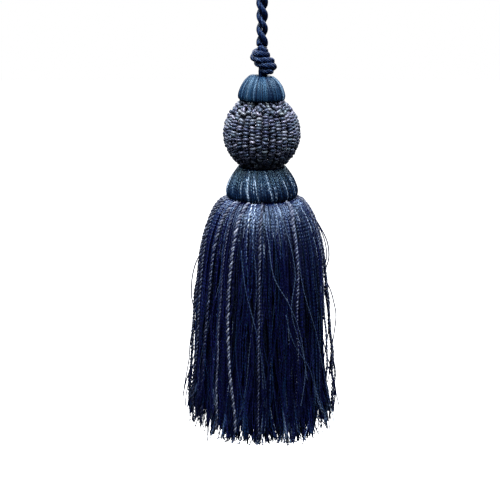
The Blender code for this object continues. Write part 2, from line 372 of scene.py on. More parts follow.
SILKS = {
    # roughness, length of a turn of the twist, how much its painted light and shade show, how much
    # the clouds do, relief, how much the shine differs, specular level and tint, then tones
    # and their colours
    "navy_cord_silk": (0.38, 1.2, 0.25, 0.7, 0.04, 0.1, 0.20, (0.45, 0.68, 1.0, 1.0), (
        (0.0, (0.0002, 0.0008, 0.010)), (0.4, (0.0007, 0.0032, 0.019)),
        (0.7, (0.004, 0.011, 0.040)), (1.0, (0.036, 0.064, 0.138)),
    )),
    "blue_cap_silk": (0.38, 1.3, 0.12, 0.5, 0.04, 0.0, 0.24, (0.45, 0.75, 1.0, 1.0), (
        (0.0, (0.0004, 0.002, 0.012)), (0.4, (0.003, 0.013, 0.036)),
        (0.7, (0.010, 0.032, 0.066)), (1.0, (0.092, 0.140, 0.205)),
    )),
    "blue_ruff_silk": (0.28, 1.25, 0.5, 0.5, 0.09, 0.2, 0.32, (0.42, 0.75, 1.0, 1.0), (
        (0.0, (0.0002, 0.0007, 0.006)), (0.35, (0.0010, 0.0040, 0.017)),
        (0.7, (0.009, 0.024, 0.056)), (1.0, (0.225, 0.285, 0.370)),
    )),
    "navy_fringe_silk": (0.27, 1.5, 0.60, 0.7, 0.10, 0.18, 0.72, (0.45, 0.66, 1.0, 1.0), (
        (0.0, (0.0001, 0.0002, 0.003)), (0.25, (0.0005, 0.0005, 0.011)),
        (0.5, (0.0013, 0.0015, 0.020)), (0.66, (0.0034, 0.0042, 0.034)),
        (0.74, (0.0018, 0.0085, 0.034)), (0.82, (0.0090, 0.0210, 0.058)),
        (0.88, (0.0340, 0.0520, 0.096)), (0.93, (0.110, 0.150, 0.215)),
        (1.0, (0.360, 0.410, 0.500)),
    )),
    "grey_accent_silk": (0.42, 1.1, 0.30, 1.0, 0.08, 0.1, 0.42, (0.65, 0.78, 1.0, 1.0), (
        (0.0, (0.0004, 0.0005, 0.008)), (0.4, (0.0020, 0.0025, 0.020)),
        (0.7, (0.018, 0.023, 0.048)), (0.9, (0.078, 0.088, 0.122)),
        (1.0, (0.310, 0.320, 0.380)),
    )),
}


def yarn(name):
    """Dyed thread: a row of tones, spun with a twist whose light and shade are painted on, and cloudy along
    its length.
    """
    roughness, twist, depth, cloud, relief, sheen, level, tint, stops = SILKS[name]
    finish = Finish(name, Specular_IOR_Level=level, Specular_Tint=tint)
    tone, round_it, along = finish.map()
    wave = ((along / twist + round_it) * TURN).sine() * 0.5 + 0.5
    soft = finish.cloud(tone * TONES_APART, along * CLOUD_PACE, 1.0, 2.0)
    # The twist's light and shade are painted into the colour: painted highlight and painted shade in turn.
    light = (1.0 - depth) + wave * (2.0 * depth) + (soft - 0.5) * cloud
    grey = finish.node("ShaderNodeCombineColor", {}, {0: light, 1: light, 2: light})
    finish.feed("Base Color", finish.mix(1.0, finish.dye(stops, tone), grey, "MULTIPLY"))
    gloss = finish.chance(tone + 0.5)
    finish.feed("Roughness", roughness + (soft - 0.5) * 0.2 - wave * 0.06 + (gloss - 0.5) * sheen)
    sockets = {"Height": wave, "Strength": 1.0, "Distance": relief * MM}
    finish.feed("Normal", finish.node("ShaderNodeBump", {}, sockets))
    return finish.made


BEAD_GREENS = (
    # tone, colour
    (0.0, (0.007, 0.015, 0.030)), (0.4, (0.028, 0.041, 0.060)),
    (0.75, (0.064, 0.082, 0.100)), (1.0, (0.110, 0.129, 0.144)),
)
BEAD_LILACS = (
    # tone, colour
    (0.0, (0.009, 0.012, 0.034)), (0.4, (0.036, 0.038, 0.072)),
    (0.75, (0.078, 0.078, 0.120)), (1.0, (0.130, 0.126, 0.172)),
)


def bead_finish():
    """Grey glass with a metal lustre. Each bead has its own tone, cast and polish."""
    finish = Finish(
        "bead_lustre",
        Metallic=0.50,
        Specular_IOR_Level=0.18,
        Sheen_Weight=0.36,
        Sheen_Roughness=0.20,
        Sheen_Tint=(0.96, 0.88, 1.0, 1.0),
    )
    tone = finish.map()[0]
    cast = finish.chance(tone + 0.37) * 0.9
    finish.feed("Base Color", finish.mix(cast, finish.dye(BEAD_GREENS, tone), finish.dye(BEAD_LILACS, tone)))
    finish.feed("Roughness", 0.31 + finish.chance(tone) * 0.20)
    return finish.made


def plain_finish(name, dark, light, roughness):
    """The ground under the threads, streaked lengthwise and dull."""
    finish = Finish(name, Specular_IOR_Level=0.08)
    tone, round_it, along = finish.map()
    streak = finish.cloud(tone + round_it, along * STREAK_PACE, 0.7, 3.0)
    finish.feed("Base Color", finish.mix(streak, (*dark, 1.0), (*light, 1.0)))
    finish.feed("Roughness", roughness + streak * 0.2)
    return finish.made


# ---------------------------------------------------------------- threads


FINE = 16  # points along a smooth curve between two rows of its table


def smooth_through(rows, where):
    """The Catmull-Rom curve through equally long rows, at where counted in rows."""
    last = len(rows) - 1
    first = min(max(int(where), 0), last - 1)
    past = where - first
    before = rows[max(first - 1, 0)]
    start, end = rows[first], rows[first + 1]
    after = rows[min(first + 2, last)]
    return [
        b
        + 0.5 * past * ((c - a) + past * ((2 * a - 5 * b + 4 * c - d) + past * (3 * (b - c) + d - a)))
        for a, b, c, d in zip(before, start, end, after)
    ]


def curve(rows, first, last):
    """The smooth curve from one row to another, as points close together."""
    return np.array([smooth_through(rows, first + k / FINE) for k in range(FINE * (last - first) + 1)])


def drawn(rows, step):
    """The smooth curve through the rows, as points about a step apart by length."""
    return spaced(curve(rows, 0, len(rows) - 1), step)


def spaced(points, step):
    """Points equally far apart, about a step, along a polyline."""
    reach = np.concatenate([[0.0], np.cumsum(np.linalg.norm(np.diff(points, axis=0), axis=1))])
    count = max(2, round(reach[-1] / step) + 1)
    goal = np.linspace(0.0, reach[-1], count)
    return np.stack([np.interp(goal, reach, points[:, i]) for i in range(points.shape[1])], axis=1)


def unit(vectors):
    return vectors / np.maximum(np.linalg.norm(vectors, axis=-1, keepdims=True), 1e-9)


def frames(paths):
    """For each point of each path, two directions across it that don't spin along it."""
    along = unit(np.gradient(paths, axis=1))
    start = np.where(np.abs(along[:, 0, 1:2]) < 0.8, [[0.0, 1.0, 0.0]], [[1.0, 0.0, 0.0]])
    side = np.empty_like(paths)
    for k in range(paths.shape[1]):
        start = unit(start - (start * along[:, k]).sum(-1, keepdims=True) * along[:, k])
        side[:, k] = start
    return side, np.cross(along, side)


def lengths(paths):
    steps = np.linalg.norm(np.diff(paths, axis=1), axis=-1)
    return np.concatenate([np.zeros((len(paths), 1)), np.cumsum(steps, axis=1)], axis=1)


def laid(paths, plies, offset, pitch, turn=0.0):
    """The plies of cords that follow these paths, each wound round its cord's own line. The
    pitch may change along the cord."""
    side, other = frames(paths)
    step = np.diff(lengths(paths), axis=1, prepend=0.0)
    angle = TURN * np.cumsum(step / pitch, axis=1) + turn
    found = []
    for ply in range(plies):
        a = (angle + TURN * ply / plies)[..., None]
        found.append(paths + offset * (np.cos(a) * side + np.sin(a) * other))
    return found


def mapped(name, points, faces, corners):
    """A mesh from points in millimetres, with its dye's map corner by corner."""
    mesh = bpy.data.meshes.new(name)
    mesh.from_pydata(set_up(points), [], faces)
    layer = mesh.uv_layers.new(name="OFBake")
    layer.uv.foreach_set("vector", np.asarray(corners, np.float32).ravel())
    return mesh


def add(name, mesh, finish, slot, *nodes):
    """The piece in the scene: it rides on the tassel's body and stands for these solids."""
    made = put_in(name, mesh)
    mesh.materials.append(finish)
    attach(made, "root")
    if nodes:
        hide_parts(*nodes)
    return made


class Skein:
    """Threads that become one mesh: round, closed at both ends, and mapped for their dye."""

    def __init__(self):
        self.points, self.faces, self.maps, self.round = [], [], [], []
        self.count = 0

    def wind(self, paths, radius, sides, tones, shift=0.0):
        """Adds threads. paths[thread, point] are in millimetres. A tone, from 0 to 1, is given for
        all threads, each thread or each step of each, and shift is where along its dye a thread
        starts."""
        paths = np.asarray(paths, float)
        threads, steps = paths.shape[:2]
        radius = np.broadcast_to(np.asarray(radius, float), (threads, steps))
        side, other = frames(paths)
        turn = TURN * np.arange(sides) / sides
        ring = (
            np.cos(turn)[:, None] * side[:, :, None] + np.sin(turn)[:, None] * other[:, :, None]
        ) * radius[:, :, None, None]
        first = self.count + np.arange(threads * steps * sides).reshape(threads, steps, sides)
        after = np.roll(first, -1, axis=2)
        quads = np.stack([first[:, :-1], after[:, :-1], after[:, 1:], first[:, 1:]], axis=-1)
        shade = np.atleast_1d(np.floor(np.clip(tones, 0.0, 0.9999) * SHADES))
        shade = shade[:, None] if shade.ndim == 1 else shade
        shade = np.broadcast_to(shade, (threads, steps - 1))
        spot = MAP_EDGE + MAP_WIDTH * np.arange(sides + 1) / sides
        u = (shade[:, :, None] + spot) / SHADES
        reach = (lengths(paths) + np.reshape(shift, (-1, 1))) / SPAN + MAP_TOP
        above, below = reach[:, :-1, None], reach[:, 1:, None]
        around = ((u[..., :-1], above), (u[..., 1:], above), (u[..., 1:], below), (u[..., :-1], below))
        corners = [np.stack(np.broadcast_arrays(across, along), axis=-1) for across, along in around]
        self.points.append((paths[:, :, None] + ring).reshape(-1, 3))
        self.faces += quads.reshape(-1, 4).tolist()
        self.maps.append(np.stack(corners, axis=-2).reshape(-1, 2))
        self.round += [True] * (threads * (steps - 1) * sides) + [False] * (2 * threads)
        for end, order in ((0, -1), (-1, 1)):
            self.faces += first[:, end, ::order].tolist()
            edge = 0.5 + 0.3 * np.stack([np.cos(turn), np.sin(turn)], axis=-1)[::order]
            u = (shade[:, end, None] + edge[None, :, 0]) / SHADES
            v = reach[:, end, None] + (edge[None, :, 1] - 0.5) * 0.002
            self.maps.append(np.stack([u, v * np.ones_like(u)], axis=-1).reshape(-1, 2))
        self.count += threads * steps * sides

    def hang(self, name, finish, slot, *nodes):
        """The threads as a piece of the tassel."""
        mesh = mapped(name, np.concatenate(self.points), self.faces, np.concatenate(self.maps))
        mesh.polygons.foreach_set("use_smooth", self.round)
        return add(name, mesh, finish, slot, *nodes)


def shell(name, profile, steps, moved, finish, slot):
    """A closed form turned round the axis. moved(angle, height, radius) shapes it, and its map
    runs as the threads over it do."""
    profile = np.asarray(profile, float)
    inner = profile[1:-1]
    turn = TURN * np.arange(steps) / steps
    rings = np.array([[moved(a, h, r) for a in turn] for h, r in inner])
    points = round_axis(rings[..., 1], turn, rings[..., 0]).reshape(-1, 3)
    ends = [(0.0, 0.0, profile[0, 0]), (0.0, 0.0, profile[-1, 0])]
    first = np.arange(len(points)).reshape(len(inner), steps)
    after = np.roll(first, -1, axis=1)
    quads = np.stack([first[:-1], first[1:], after[1:], after[:-1]], axis=-1).reshape(-1, 4)
    top = [[len(points), a, b] for a, b in zip(first[0], after[0])]
    low = [[len(points) + 1, b, a] for a, b in zip(first[-1], after[-1])]
    v = lengths(profile[None])[0] / SPAN + MAP_TOP
    u = np.arange(steps + 1) / steps
    strips = list(zip(u, u[1:]))
    corners = []
    for above, below in zip(v[1:], v[2:-1]):
        for a, b in strips:
            corners += [(a, above), (a, below), (b, below), (b, above)]
    for a, b in strips:
        corners += [(0.5 * (a + b), v[0]), (a, v[1]), (b, v[1])]
    for a, b in strips:
        corners += [(0.5 * (a + b), v[-1]), (b, v[-2]), (a, v[-2])]
    mesh = mapped(name, np.concatenate([points, ends]), quads.tolist() + top + low, corners)
    mesh.shade_smooth()
    return add(name, mesh, finish, slot)


# ---------------------------------------------------------------- cord and knot


def leg(side, heights):
    """Where one leg of the twist is at these heights."""
    return round_axis(side * LEG_OFFSET, TURN * (TWIST_TOP - heights) / TWIST_PITCH, heights)


def cord_route():
    """Up one leg of the twist, round the loop and down the other leg."""
    heights = np.linspace(CORD_FOOT, TWIST_TOP, LEG_POINTS)
    count = round((TWIST_TOP - CORD_FOOT) / TWIST_PITCH * 10)
    last = np.array([TWIST_TOP - (TWIST_TOP - CORD_FOOT) / count, TWIST_TOP])
    back = [(-across, -behind, height) for across, behind, height in LOOP_SIDE[-2::-1]]
    rows = [Vector(row) for row in (*leg(1, last), *LOOP_SIDE, *back, *leg(-1, last[::-1]))]
    loop = curve(rows, 1, len(rows) - 2)
    return spaced(np.concatenate([leg(1, heights)[:-1], loop, leg(-1, heights[::-1])[1:]]), CORD_STEP)


def silk_cord(skein, path, swell, turn):
    """Fine strands wound at a long lay round a core."""
    swell = np.broadcast_to(swell, len(path))
    wound = laid(path[None], STRANDS, STRAND_OFFSET * swell[:, None], STRAND_LAY, turn)
    for number, strand in enumerate(wound):
        # The strands differ in tone, and the lighter ones also stand in for glints: partly a painted
        # highlight.
        tone = 0.42 + 0.36 * math.sin(2.4 * number)
        skein.wind(strand, STRAND_RADIUS * swell[None], 5, tone)
    skein.wind(path[None], CORE_RADIUS * swell[None], 8, CORE_TONE)


def hanging_cord(finish):
    route = cord_route()
    skein = Skein()
    uneven = np.sin(0.55 * route[:, 2] + 1.3 * np.sign(route[:, 0])) + np.sin(0.21 * route[:, 2] + 2.0)
    silk_cord(skein, route, 1.05 + 0.03 * uneven, 0.0)
    return skein.hang("hanging_cord_plies", finish, "cord", "hanging_cord"), route


def knot_strand(which):
    """One strand of the knot, which crosses the front at every second row of the table."""
    points = []
    for k in range(KNOT_POINTS + 1):
        crossing = KNOT_TOP + (STRAND_ENDS[which] - KNOT_TOP) * k / KNOT_POINTS
        across, height, wide, deep = smooth_through(KNOT_CROSSINGS, crossing)
        angle = math.pi * (crossing - which - 0.5)
        lift = KNOT_TILT * math.cos(angle) * min(1.0, max(0.0, crossing - 1.0))
        points.append((across + wide * math.cos(angle), deep * math.sin(angle), height + lift))
    return spaced(np.array(points), CORD_STEP)


def cord_knot(finish):
    skein = Skein()
    paths = [knot_strand(0), knot_strand(1)]
    for side in (1, -1):
        rows = [Vector((NECK_MIDDLE + side * across, side * NECK_BACK, height)) for across, height in NECK]
        paths.append(drawn(rows, CORD_STEP))
    for number, (path, swell) in enumerate(zip(paths, KNOT_SWELLS)):
        silk_cord(skein, path, swell, 0.9 * number)
    across, height, radius = drawn(KNOT_CORE, CORD_STEP).T
    core = np.stack([across, 0.0 * across, height], axis=1)
    skein.wind(core[None], radius[None], 12, CORE_TONE)
    return skein.hang("cord_knot_plies", finish, "cord", "cord_knot")


# ---------------------------------------------------------------- collars


def lobes(table, angle):
    return sum(share * np.sin(waves * angle + turn) for waves, share, turn in table)


def upper_shape(angle, height, radius):
    """The cap's threads bunch in soft lobes round the dimple, the left one highest."""
    low, inner = LOBES_FROM
    free = (radius >= inner) & (height >= low)
    rise = -UPPER_LEAN * np.cos(angle) * (height - low) / (CREST - low)
    swell = (1.0 + lobes(UPPER_LOBES, angle)) * (1.0 - DRAWN_IN * np.maximum(0.0, np.cos(angle)))
    return np.where(free, height + rise, height), np.where(free, radius * swell, radius)


def lower_shape(angle, height, radius):
    """The collar is a little uneven where its threads bunch."""
    share = share_of((radius - 9.0) / 3.0) * (height > -25.6)
    return height, radius * (1.0 + share * lobes(LOWER_LOBES, angle))


COMBS = {
    # what the upper and the lower collar have
    "rows": ((1, 11), (2, 12)),  # of its profile, between which the threads run
    "seed": (3, 15),
    "swung": (0.0, 0.2),  # how far round its pattern of bunches is turned
    "threads": (330, 300),
    "thick": (0.15, 0.21),
    "lift": (0.16, 0.26),  # how unevenly high its threads lie
    "slant": (0.02, 0.20),  # how far round a thread goes on its way down
    "swept": (0.05, 0.16),  # how much that differs from bunch to bunch
    "tone": (0.43, 0.38),
    "streak": (0.78, 0.56),  # how much the tone differs from bunch to bunch
    "scatter": (0.18, 0.27),  # and from thread to thread
    "bright": (0.03, 0.34),  # how many threads are bright, as a share: light strands that are partly a painted highlight
    "painted_shade_ends": (0.07, 0.36),  # how much darker the threads are painted near both ends: painted shade, and under the ball a painted shadow
    "dashed": (0.06, 0.40),  # how much darker the lighter ones are in places
}
BUNCH_FINENESS = (2.4, 9.0, 26.0)
RUFF_STEP = 0.8
GROUND_SHARE = 0.95  # how high the ground under the threads is, as a share of the collar
GROUND_DEPTH = 0.3
GROUND_STEPS = 64


def comb_tones(rng, comb, base, bunches, share):
    """A collar's tones, thread by thread and step by step, with painted shade and painted highlight in them,
    and where each thread's dye starts.
    """
    threads = len(base)
    broad, close, fine = bunches
    tones = comb["tone"] + comb["streak"] * (0.6 * broad + 0.8 * close + 0.5 * fine)
    tones = tones + rng.normal(0.0, comb["scatter"], threads)
    # Bright threads come more often in front and behind: a painted highlight.
    often = share_of(0.45 + 1.6 * close) * (0.5 + 0.5 * np.sin(base) ** 2)
    bright = rng.random(threads) < comb["bright"] * often
    tones = np.where(bright, rng.uniform(0.75, 1.0, threads), tones)[:, None]
    start = rng.uniform(0.0, 9.0, threads)
    place = 0.5 * (share[1:] + share[:-1])
    # Painted shade: darker near each thread's start, which on the lower collar is the painted shadow under
    # the ball, and near its end, where it turns under.
    shade_at_start = share_of((rng.uniform(0.16, 0.42, (threads, 1)) - place) / 0.10)
    shade_at_end = share_of((place - rng.uniform(0.56, 0.88, (threads, 1))) / 0.10)
    dashes = rng.random((threads, len(place))) * share_of((tones - 0.45) / 0.25)
    return tones - comb["painted_shade_ends"] * (shade_at_start + 0.6 * shade_at_end) - comb["dashed"] * dashes, start


def ruff(which, name, profile, shape, finish, ground):
    """A collar: threads laid side by side over its form, from the top to the tuck below."""
    comb = {word: pair[which] for word, pair in COMBS.items()}
    rng = np.random.default_rng(comb["seed"])
    first, last = comb["rows"]
    line = drawn(profile[first : last + 1], RUFF_STEP)
    steps, threads = len(line), comb["threads"]
    base = TURN * np.arange(threads) / threads
    bunches = [
        np.array([unevenness(a, fineness, comb["seed"]) for a in base - comb["swung"]])
        for fineness in BUNCH_FINENESS
    ]
    broad, close, fine = bunches
    share = np.linspace(0.0, 1.0, steps)
    slant = comb["slant"] + comb["swept"] * (broad + 0.8 * close) + rng.normal(0.0, 0.025, threads)
    drift = rng.normal(0.0, 0.35 / threads * TURN, (threads, 1))
    angle = base[:, None] + drift + slant[:, None] * share
    lift = comb["lift"] * rng.uniform(-1.0, 0.7, (threads, 1))
    lift = lift + 0.05 * np.sin(rng.uniform(0.0, TURN, (threads, 1)) + 5.0 * share)
    lift = lift + 0.25 * (close + fine)[:, None] * np.sin(math.pi * share)
    height, radius = shape(angle, line[None, :, 0], line[None, :, 1])
    slope = np.gradient(line, axis=0)
    out = unit(np.stack([slope[:, 1], -slope[:, 0]], axis=-1))
    out = out * np.sign((out * (line - line.mean(axis=0))).sum(axis=-1, keepdims=True).mean())
    paths = round_axis(radius + lift * out[None, :, 1], angle, height + lift * out[None, :, 0])
    skein = Skein()
    skein.wind(paths, comb["thick"], 4, *comb_tones(rng, comb, base, bunches, share))
    skein.hang(f"{name}_threads", finish, "ruff_thread", name)
    middle = np.mean([height for height, radius in profile])
    under = [
        (middle + (height - middle) * GROUND_SHARE, max(0.0, radius - GROUND_DEPTH))
        for height, radius in profile
    ]
    shell(f"{name}_ground", under, GROUND_STEPS, shape, ground, "ruff_thread")


# ---------------------------------------------------------------- beads


def bead_spots(rng):
    """Where each bead is on the ball, and how far it leans: its turn round the axis, its rise
    above the middle and its tilt. The columns are upright, and past them it has no order."""
    spots = []
    rise = BEAD_PITCH / BALL_RADIUS
    foot, top = math.radians(COLUMN_FOOT), math.radians(COLUMN_TOP)
    for column in range(BEAD_COLUMNS):
        turn = TURN * (column + 0.5) / BEAD_COLUMNS - math.pi / 2
        lift = foot + rng.uniform(0.0, 1.0) * rise
        while lift < top + rng.uniform(-0.6, 0.6) * rise:
            sway = 0.022 * math.sin(3.4 * lift + column * 1.7)
            spots.append((turn + sway + rng.normal(0.0, 0.012), lift, COLUMN_TILT))
            lift += rise * rng.uniform(0.86, 1.16)
    for side, edge in ((1, top), (-1, -foot)):
        level = edge + 0.8 * rise
        while level < math.radians(BALL_BAND):
            around = int(TURN * BALL_RADIUS * math.cos(level) / (2.0 * BEAD_RADIUS - 0.15))
            start = rng.uniform(0.0, TURN)
            for k in range(around):
                turn = start + TURN * (k + rng.normal(0.0, 0.22)) / around
                spots.append((turn, side * (level + rng.normal(0.0, 0.30) * rise), CROWN_TILT))
            level += rise
    return spots


def beads(finish, thread):
    rng = np.random.default_rng(11)
    half = [(radius, share * (BEAD_LENGTH / 2)) for radius, share in BEAD_SECTION]
    section = half + [(radius, -height) for radius, height in half[-2::-1]]
    rows, sides = len(section), BEAD_SIDES
    turns = TURN * np.arange(sides) / sides
    bead = np.concatenate([round_axis(radius, turns, height) for radius, height in section])
    first = np.arange(rows * sides).reshape(rows, sides)
    after = np.roll(first, -1, axis=1)
    below, across = np.roll(first, -1, axis=0), np.roll(after, -1, axis=0)
    quads = np.stack([first, below, across, after], axis=-1).reshape(-1, 4)
    i, j = np.meshgrid(np.arange(rows), np.arange(sides), indexing="ij")
    corners = [(i, j), (i + 1, j), (i + 1, j + 1), (i, j + 1)]
    points, faces, maps = [], [], []
    for turn, lift, tilt in bead_spots(rng):
        out = towards(turn, lift)
        up = (towards(turn, lift + math.pi / 2) + tilt * Vector(rng.normal(0.0, 1.0, 3))).normalized()
        side = up.cross(out).normalized()
        proud = 0.1 + 0.6 * max(0.0, tilt - COLUMN_TILT)
        place = out * (BALL_RADIUS - BEAD_RADIUS + proud + rng.normal(0.0, 0.12))
        size = rng.normal(1.0 - 0.12 * tilt, 0.06)
        faces.append(quads + len(points) * rows * sides)
        points.append(bead @ (np.array([side, side.cross(up), up]) * size) + np.array(place))
        # Beads on the upper half of the ball are painted lighter the higher they sit: a painted highlight
        # from the light above.
        tone = np.clip(rng.beta(1.5, 2.7) + 0.22 * max(0.0, math.sin(lift)), 0.0, 0.999)
        shade = math.floor(tone * SHADES) + MAP_EDGE
        spot = [((shade + MAP_WIDTH * b / sides) / SHADES, 0.02 + 0.05 * a / rows) for a, b in corners]
        maps.append(np.stack([np.stack(s, axis=-1) for s in spot], axis=-2).reshape(-1, 2))
    mesh = mapped("beads", np.concatenate(points), np.concatenate(faces), np.concatenate(maps))
    mesh.shade_smooth()
    add("beads", mesh, finish, "beads", "beaded_ball")
    core = []
    for level in np.linspace(90.0, -90.0, 41):
        radius = np.interp(abs(level), *zip(*BALL_CORE))
        core.append((radius * math.sin(math.radians(level)), radius * math.cos(math.radians(level))))
    core[0], core[-1] = (core[0][0], 0.0), (core[-1][0], 0.0)
    shell("ball_ground", core, GROUND_STEPS, lambda angle, height, radius: (height, radius), thread, "beads")


# ---------------------------------------------------------------- skirt


class Side:
    """The skirt's outer line by length: how far out and how high a thread is along it."""

    def __init__(self):
        line = drawn(SKIRT_SIDE, 0.5)
        self.reach = np.linspace(0.0, lengths(line[None])[0, -1], len(line))
        self.height, self.radius = line[:, 0], line[:, 1]
        self.length = self.reach[-1]

    def at(self, along, depth):
        """Radius and height at a length along a thread that lies this share inside."""
        radius = np.interp(along, self.reach, self.radius) * (1.0 - depth)
        drop = SHOULDER_DROP * depth * share_of(1.0 - along / SHOULDER) ** 2
        return radius, np.interp(along, self.reach, self.height) - drop


def waves(rng, count, along, sizes, group=slice(None)):
    """Smooth sideways drift of each thread along it: a size for each wave length. Threads of
    one group drift together."""
    total = 0.0
    for length, size in sizes:
        turn = rng.uniform(0.0, TURN, (count, 1))[group]
        pace = rng.uniform(0.75, 1.3, (count, 1))[group] * TURN / length
        total = total + size * rng.normal(0.0, 0.7, (count, 1))[group] * np.sin(pace * along + turn)
    return total


def bunched(rng, angle, count, pull):
    """Each thread's shift towards the middle of its bunch, as an angle."""
    middles = TURN * (np.arange(count) + rng.uniform(-0.32, 0.32, count)) / count
    away = (middles[None, :] - angle[:, None] + math.pi) % TURN - math.pi
    nearest = np.abs(away).argmin(axis=1)
    return away[np.arange(len(angle)), nearest] * pull, nearest


HEM_DIP = 6.0  # how much longer the hem is in front than at the sides and behind
# Where else it differs: degrees, width in degrees, how much longer the threads are.
HEM_CORNERS = ((-90.0, 39.0, -8.4), (90.0, 31.0, -6.8))
HEM_CHANGES = (*HEM_CORNERS, (38.0, 18.0, 1.4), (-42.0, 14.0, -1.0))
HOLLOWS = (
    # degrees, width in degrees, depth as a share of the radius
    (93, 9, 0.085), (-90, 7, 0.050), (-34, 3.5, 0.075), (-16, 2.5, 0.050), (9, 3, 0.070),
    (22, 2.5, 0.050), (52, 4, 0.055), (128, 4, 0.070), (165, 3.5, 0.070), (208, 4, 0.070),
    (232, 3, 0.060),
)
PAINTED_HIGHLIGHT_BUNCHES = (
    # degrees, width in degrees, how much lighter the threads are painted on the shoulder and below it: a
    # painted highlight
    (-10, 15, 0.80, 0.02), (20, 10, 0.88, 0.07), (-62, 7, 0.10, 0.04), (74, 7, 0.12, 0.04),
    (112, 12, 0.36, 0.05), (158, 14, 0.40, 0.05), (200, 12, 0.36, 0.04), (243, 12, 0.36, 0.04),
)


def gathered(angle, table, column=2):
    """The sum of a table's soft bumps round the axis, each as high as that column says."""
    total = np.zeros_like(angle)
    for row in table:
        away = (np.degrees(angle) + 90.0 - row[0] + 180.0) % 360.0 - 180.0
        total += row[column] * np.exp(-((away / row[1]) ** 2))
    return total


def pressed(paths):
    """Takes in the left and the right of the skirt, which hang flatter than the rest."""
    levels, left, right = np.array(FLAT_SIDES)[::-1].T
    x, height = paths[..., 0], paths[..., 2]
    free = np.where(height > FLAT_SIDES[0][0], 100.0, 0.0)
    past_left = np.maximum(-x - np.interp(height, levels, left) - free, 0.0)
    past_right = np.maximum(x - np.interp(height, levels, right) - free, 0.0)
    paths[..., 0] = x + PRESSED * (past_left - past_right)
    return paths


def steps_along(count, pace=1.0):
    """Shares of a thread's length: close together over the shoulder and at the cut end."""
    share = np.linspace(0.0, 1.0, count) ** pace
    return np.interp(share, (0.0, 0.3, 0.72, 0.9, 1.0), (0.0, 0.14, 0.82, 0.96, 1.0))


FRINGES = (
    # name, threads, radius, how far inside they lie at least and at most as shares of the
    # skirt's radius, tufts, strands, how much shorter than the skirt, seed, tone, which is darker
    # for the layers further in as a painted shade, its solid
    ("fringe_inner", 1150, 0.20, 0.085, 0.15, 60, 120, 6.5, 61, 0.14, "skirt"),
    ("fringe_middle", 1250, 0.21, 0.03, 0.085, 60, 105, 6.0, 62, 0.22),
    ("fringe_outer", 900, 0.22, -0.004, 0.035, 70, 100, 5.6, 63, 0.31),
)
FRINGE_STEPS = 18
TUFT_PULL, STRAND_PULL = 0.45, 0.55  # how far threads are gathered into theirs
SUNK_STRANDS = 0.33  # the share of strands that lie in a groove, which are painted darker: painted shade
WISPS = 0.20  # and of those that are short and spread at the end
SINGLES = 0.14  # the share of threads that end alone, past the others
POINTED = 4.6  # how much longer the middle of a strand is than its sides
LONGEST = 7.4  # how far past the skirt's own length a thread may reach
GROOVED = 62.0  # the length of thread over which tufts and strands part
LOOSE, WISP_LOOSE = 16.0, 26.0  # the length of a thread's loose end, and of a wisp's
BRIGHTEST = 0.945


